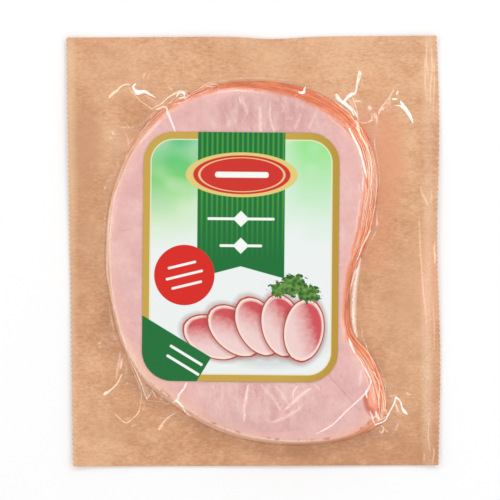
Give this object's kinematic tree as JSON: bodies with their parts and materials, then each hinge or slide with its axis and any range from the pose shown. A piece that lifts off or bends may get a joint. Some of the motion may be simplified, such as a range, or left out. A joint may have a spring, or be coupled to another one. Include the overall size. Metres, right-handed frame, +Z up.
{
  "type": "vacuum pack of sliced pork loin",
  "caption": "Flat vacuum pack of thinly sliced cooked pork loin: fanned slices under clear film on a kraft-look sheet, with a rounded label.",
  "frame": {"origin": "on the surface the pack lies on, under the middle of the backing sheet's outline", "axes": "+X to the right and +Y to the top of the label as it is read, +Z up out of the front"},
  "size_m": [0.1684, 0.1935, 0.0121],
  "materials": {
    "kraft_web": "satin",
    "ham": "satin",
    "clear_film": "gloss",
    "label_print": "satin"
  },
  "bodies": {
    "root": {"backing_sheet": "kraft_web", "slice_1": "ham", "slice_2": "ham", "slice_3": "ham", "slice_4": "ham", "slice_5": "ham", "slice_6": "ham", "slice_7": "ham", "slice_8": "ham", "top_film": "clear_film", "label": "label_print"}
  },
  "joints": []
}
